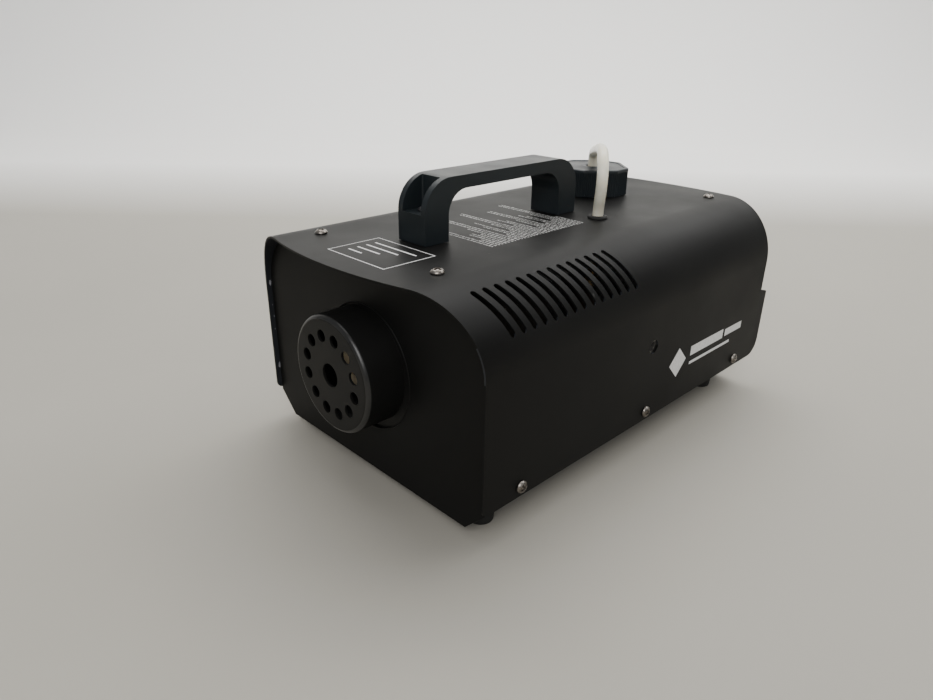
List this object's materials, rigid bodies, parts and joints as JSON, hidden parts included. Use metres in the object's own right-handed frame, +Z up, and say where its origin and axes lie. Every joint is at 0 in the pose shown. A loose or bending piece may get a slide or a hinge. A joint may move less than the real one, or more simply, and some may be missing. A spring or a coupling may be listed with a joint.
{
  "type": "fog machine",
  "caption": "Desktop fog machine: black steel casing with vents, perforated round nozzle shroud, carry handle, screw-capped fluid tank with looped suction hose.",
  "frame": {"origin": "middle of the footprint on the surface the feet stand on", "axes": "-Y is the nozzle side, +Y the control side, +Z up, +X the machine's left seen from its nozzle"},
  "size_m": [0.2064, 0.3334, 0.1855],
  "materials": {
    "powder_coat": "satin black powder coat with a faint orange-peel texture",
    "black_plastic": "black moulded plastic",
    "black_rubber": "black rubber",
    "nickel_steel": "nickel-plated screw steel",
    "brass": "turned brass",
    "cast_aluminium": "cast aluminium",
    "steel": "plain steel",
    "ceramic_fibre": "ceramic fibre insulation",
    "tank_plastic": "translucent polyethylene",
    "hose_silicone": "milky silicone hose",
    "circuit_green": "glass-epoxy board",
    "copper_winding": "enamelled copper winding",
    "print_white": "white printed marks on the casing, plain bars only",
    "lamp_green": "green lamp lens",
    "button_red": "red push button"
  },
  "bodies": {
    "housing": {"top_cover": "powder_coat", "base_tray": "powder_coat", "front_panel": "powder_coat", "rear_panel": "powder_coat", "nozzle_shroud": "powder_coat", "nozzle_tip": "brass", "nozzle_collar": "ceramic_fibre", "handle": "black_plastic", "handle_screw_front": "nickel_steel", "handle_screw_rear": "nickel_steel", "fluid_tank": "tank_plastic", "suction_filter": "brass", "suction_hose": "hose_silicone", "hose_grommet": "black_rubber", "top_screw_left_front": "nickel_steel", "top_screw_left_rear": "nickel_steel", "top_screw_right_front": "nickel_steel", "top_screw_right_rear": "nickel_steel", "side_screw_left_front": "nickel_steel", "side_screw_left_middle": "nickel_steel", "side_screw_left_rear": "nickel_steel", "side_screw_right_front": "nickel_steel", "side_screw_right_middle": "nickel_steel", "side_screw_right_rear": "nickel_steel", "bracket_nut_left": "steel", "bracket_nut_right": "steel", "foot_front_left": "black_rubber", "foot_front_right": "black_rubber", "foot_rear_left": "black_rubber", "foot_rear_right": "black_rubber", "heater_block": "cast_aluminium", "heating_element_left": "steel", "heating_element_right": "steel", "heater_jacket": "ceramic_fibre", "heater_bracket_front": "steel", "heater_bracket_rear": "steel", "thermostat": "steel", "thermal_cutout": "steel", "pump_coil": "copper_winding", "pump_yoke": "steel", "pump_cylinder": "brass", "pump_spring": "steel", "outlet_pipe": "steel", "board_carrier": "black_plastic", "circuit_board": "circuit_green", "relay": "black_plastic", "transformer": "copper_winding", "terminal_block": "black_plastic", "power_inlet": "black_plastic", "switch_housing": "black_plastic", "button_bezel": "black_plastic", "button_spring": "steel", "ready_lamp": "lamp_green", "remote_socket": "black_plastic"},
    "cap_lift": {"cap_seal": "black_rubber"},
    "cap": {"tank_cap": "black_plastic"},
    "switch_rocker": {"rocker": "black_plastic"},
    "push_button": {"fog_button": "button_red"},
    "fuse_tray": {"fuse_drawer": "black_plastic"},
    "plunger": {"pump_plunger": "steel"}
  },
  "joints": [
    {"name": "cap_rise", "type": "slide", "parent": "housing", "child": "cap_lift", "axis": [0, 0, 1], "range_m": [0, 0.0061]},
    {"name": "cap_turn", "type": "hinge", "parent": "cap_lift", "child": "cap", "pos_m": [-0.0205, 0.092, 0.15], "axis": [0, 0, 1], "range_deg": [0, 540]},
    {"name": "rocker_tilt", "type": "hinge", "parent": "housing", "child": "switch_rocker", "pos_m": [-0.012, 0.1467, 0.042], "axis": [-1, 0, 0], "range_deg": [0, 20]},
    {"name": "fog_press", "type": "slide", "parent": "housing", "child": "push_button", "axis": [0, -1, 0], "range_m": [0, 0.0025], "stiffness_N_per_m": 400, "springref_m": -0.001, "deforming": ["button_spring"]},
    {"name": "fuse_pull", "type": "slide", "parent": "housing", "child": "fuse_tray", "axis": [0, 1, 0], "range_m": [0, 0.012]},
    {"name": "plunger_stroke", "type": "slide", "parent": "housing", "child": "plunger", "axis": [0, 0, 1], "range_m": [-0.0003, 0.003], "stiffness_N_per_m": 500, "springref_m": 0.0002, "deforming": ["pump_spring"]}
  ],
  "couplings": [
    {"joint": "cap_rise", "follows": "cap_turn", "m_per_rad": 0.00063662}
  ]
}
